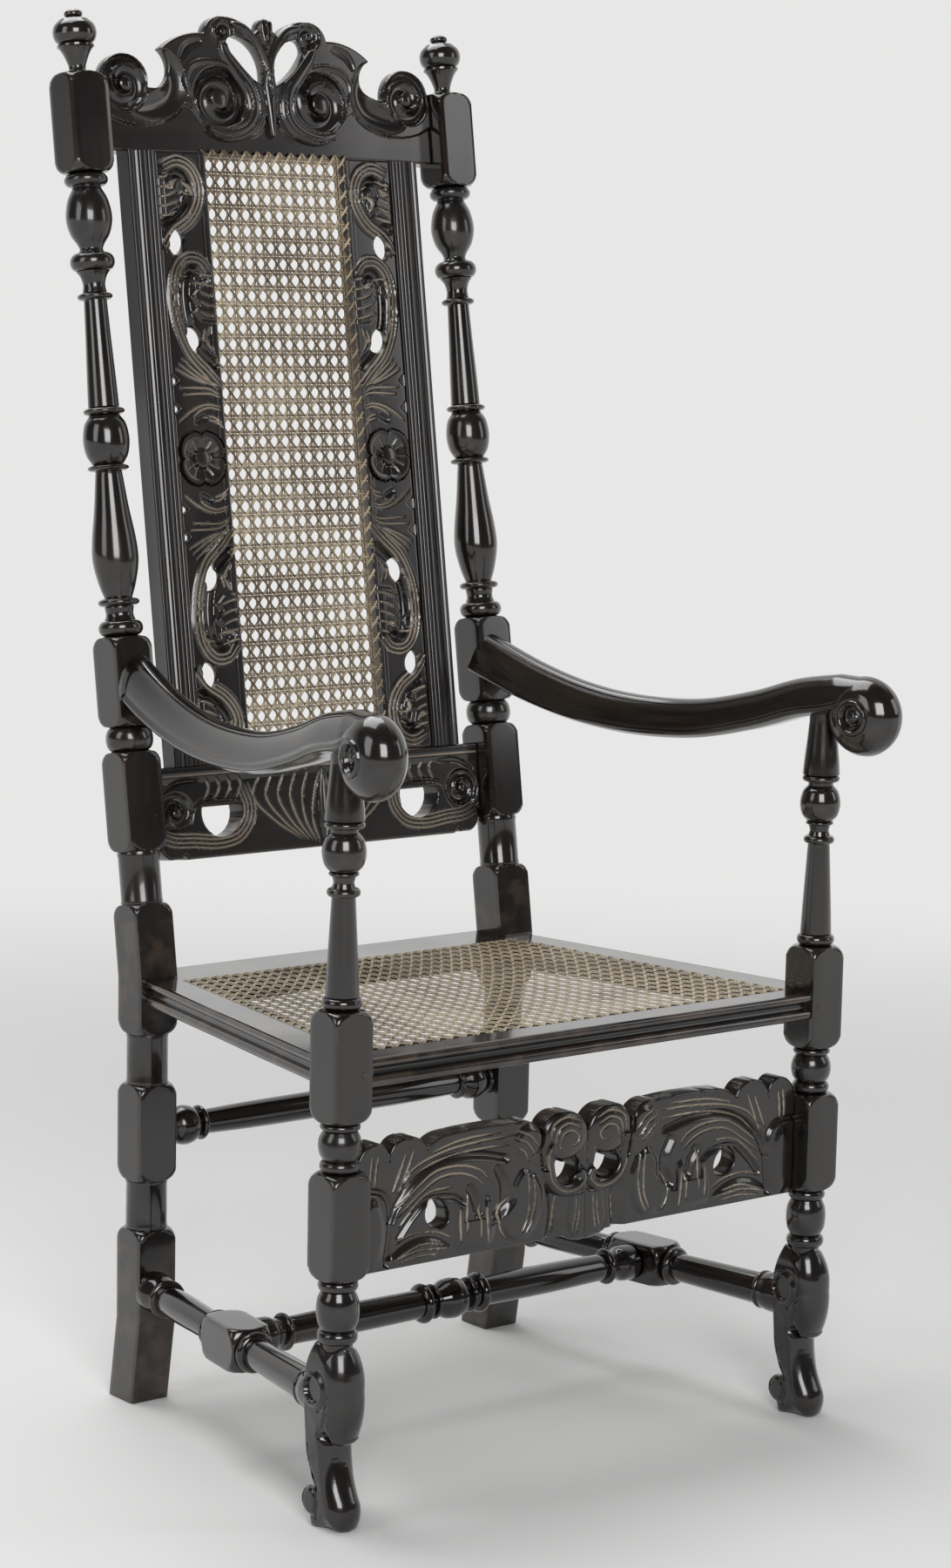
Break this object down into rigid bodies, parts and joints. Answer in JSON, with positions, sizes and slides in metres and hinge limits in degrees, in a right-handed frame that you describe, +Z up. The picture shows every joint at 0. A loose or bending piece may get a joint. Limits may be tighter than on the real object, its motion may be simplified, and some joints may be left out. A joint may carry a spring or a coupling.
{
  "type": "cane armchair",
  "caption": "Tall-backed wooden armchair with turned posts, carved and pierced rails, scrolled arms and a woven cane seat and back panel.",
  "frame": {"origin": "on the floor, under the middle of the chair's box", "axes": "+Z up, the chair faces -Y, +X to the viewer's right seen from the front"},
  "size_m": [0.6538, 0.6664, 1.3747],
  "materials": {
    "dark_wood": "dark stained and waxed, worn lighter on edges",
    "carved_wood": "dark stained carving, waxed, dust in the hollows",
    "cane": "split cane, semi-gloss, aged"
  },
  "bodies": {
    "root": {"rear_post_left": "dark_wood", "rear_post_right": "dark_wood", "front_post_left": "dark_wood", "front_post_right": "dark_wood", "arm_left": "dark_wood", "arm_right": "dark_wood", "crest_rail": "carved_wood", "lower_back_rail": "carved_wood", "back_stile_left": "dark_wood", "back_stile_right": "dark_wood", "carved_upright_left": "carved_wood", "carved_upright_right": "carved_wood", "back_cane": "cane", "seat_rail_front": "dark_wood", "seat_rail_back": "dark_wood", "seat_rail_left": "dark_wood", "seat_rail_right": "dark_wood", "seat_cane": "cane", "front_stretcher": "carved_wood", "side_stretcher_left": "dark_wood", "side_stretcher_right": "dark_wood", "medial_stretcher": "dark_wood", "rear_stretcher": "dark_wood", "joint_pegs": "dark_wood"}
  },
  "joints": []
}
